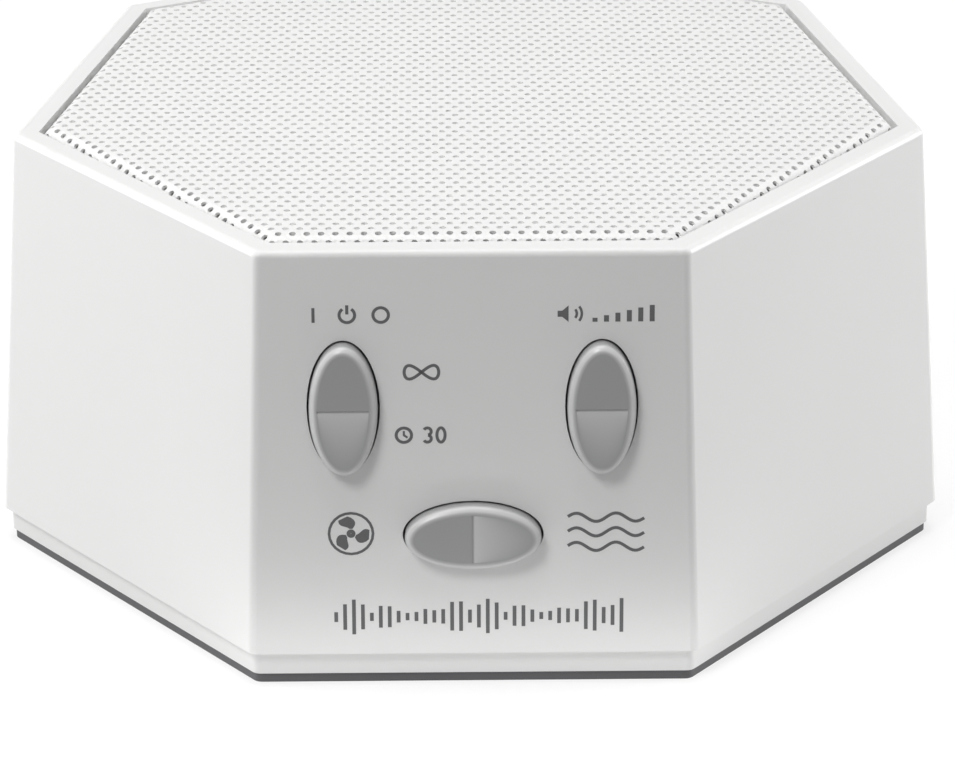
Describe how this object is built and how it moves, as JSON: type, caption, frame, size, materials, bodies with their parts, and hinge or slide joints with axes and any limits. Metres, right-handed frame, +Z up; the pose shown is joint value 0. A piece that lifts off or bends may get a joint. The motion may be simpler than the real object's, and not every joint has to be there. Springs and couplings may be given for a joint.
{
  "type": "white noise sound machine",
  "caption": "Compact seven-sided tapered sound machine with a perforated top grille, elliptical rocker keys on the front face and an upward loudspeaker inside.",
  "frame": {"origin": "centre of the rubber foot underside, where the product rests", "axes": "+Z up, -Y out of the front face with the keys, +X to the right seen from the front"},
  "size_m": [0.1122, 0.1104, 0.0521],
  "materials": {
    "white_plastic": "fine satin, moulded",
    "white_paint": "satin powder coat on perforated steel",
    "grey_key": "satin grey",
    "foot_rubber": "matt, fine grain",
    "zinc_steel": "zinc plated",
    "board_green": "solder mask, satin",
    "black_plastic": "matt",
    "ivory_plastic": "satin",
    "ribbon_grey": "satin flat cable",
    "capacitor_sleeve": "gloss sleeve",
    "basket_steel": "black satin",
    "magnet_ferrite": "matt sintered",
    "plate_steel": "zinc plated",
    "copper_coil": "enamelled copper wire",
    "cone_paper": "pressed paper",
    "surround_rubber": "matt",
    "spider_cloth": "varnished cloth",
    "gasket_foam": "foam",
    "lead_sleeve": "soft sleeve",
    "contact_metal": "plated"
  },
  "bodies": {
    "housing": {"top_housing": "white_plastic", "grille": "white_paint", "base_cover": "white_plastic", "foot_pad": "foot_rubber", "case_screws": "zinc_steel", "key_board": "board_green", "key_board_screws": "zinc_steel", "key_board_socket": "ivory_plastic", "ribbon_cable": "ribbon_grey", "main_board_socket": "ivory_plastic", "main_board": "board_green", "main_board_screws": "zinc_steel", "processor_chip": "black_plastic", "amplifier_chip": "black_plastic", "left_capacitor": "capacitor_sleeve", "right_capacitor": "capacitor_sleeve", "speaker_socket": "ivory_plastic", "speaker_leads": "lead_sleeve", "dc_inlet": "black_plastic", "dc_inlet_pin": "contact_metal", "headphone_jack": "black_plastic", "speaker_gasket": "gasket_foam", "speaker_basket": "basket_steel", "speaker_screws": "zinc_steel", "speaker_top_plate": "plate_steel", "speaker_magnet": "magnet_ferrite", "speaker_yoke": "plate_steel", "cone_surround": "surround_rubber", "cone_spider": "spider_cloth", "speaker_terminals": "ivory_plastic", "power_lower_switch": "black_plastic", "power_upper_switch": "black_plastic", "volume_lower_switch": "black_plastic", "volume_upper_switch": "black_plastic", "sound_left_switch": "black_plastic", "sound_right_switch": "black_plastic"},
    "power_rocker": {"power_key": "grey_key"},
    "volume_rocker": {"volume_key": "grey_key"},
    "sound_rocker": {"sound_key": "grey_key"},
    "power_lower_button": {"power_lower_plunger": "ivory_plastic"},
    "power_upper_button": {"power_upper_plunger": "ivory_plastic"},
    "volume_lower_button": {"volume_lower_plunger": "ivory_plastic"},
    "volume_upper_button": {"volume_upper_plunger": "ivory_plastic"},
    "sound_left_button": {"sound_left_plunger": "ivory_plastic"},
    "sound_right_button": {"sound_right_plunger": "ivory_plastic"},
    "cone_assembly": {"speaker_cone": "cone_paper", "voice_coil": "copper_coil", "dust_cap": "cone_paper"}
  },
  "joints": [
    {"name": "power_rock", "type": "hinge", "parent": "housing", "child": "power_rocker", "pos_m": [-0.01425, -0.0466, 0.03338], "axis": [1, 0, 0], "range_deg": [-3, 3], "stiffness_Nm_per_rad": 0.1432},
    {"name": "volume_rock", "type": "hinge", "parent": "housing", "child": "volume_rocker", "pos_m": [0.01425, -0.0466, 0.03338], "axis": [1, 0, 0], "range_deg": [-3, 3], "stiffness_Nm_per_rad": 0.1432},
    {"name": "sound_rock", "type": "hinge", "parent": "housing", "child": "sound_rocker", "pos_m": [0, -0.04753, 0.01821], "axis": [0, 0.0616, 0.9981], "range_deg": [-3, 3], "stiffness_Nm_per_rad": 0.1432},
    {"name": "power_lower_press", "type": "slide", "parent": "housing", "child": "power_lower_button", "axis": [0, 0.9981, -0.0616], "range_m": [0, 0.00025], "stiffness_N_per_m": 6000},
    {"name": "power_upper_press", "type": "slide", "parent": "housing", "child": "power_upper_button", "axis": [0, 0.9981, -0.0616], "range_m": [0, 0.00025], "stiffness_N_per_m": 6000},
    {"name": "volume_lower_press", "type": "slide", "parent": "housing", "child": "volume_lower_button", "axis": [0, 0.9981, -0.0616], "range_m": [0, 0.00025], "stiffness_N_per_m": 6000},
    {"name": "volume_upper_press", "type": "slide", "parent": "housing", "child": "volume_upper_button", "axis": [0, 0.9981, -0.0616], "range_m": [0, 0.00025], "stiffness_N_per_m": 6000},
    {"name": "sound_left_press", "type": "slide", "parent": "housing", "child": "sound_left_button", "axis": [0, 0.9981, -0.0616], "range_m": [0, 0.00025], "stiffness_N_per_m": 6000},
    {"name": "sound_right_press", "type": "slide", "parent": "housing", "child": "sound_right_button", "axis": [0, 0.9981, -0.0616], "range_m": [0, 0.00025], "stiffness_N_per_m": 6000},
    {"name": "cone_travel", "type": "slide", "parent": "housing", "child": "cone_assembly", "axis": [0, 0, 1], "range_m": [-0.0015, 0.0015], "stiffness_N_per_m": 1200, "deforming": ["cone_surround", "cone_spider"]}
  ]
}
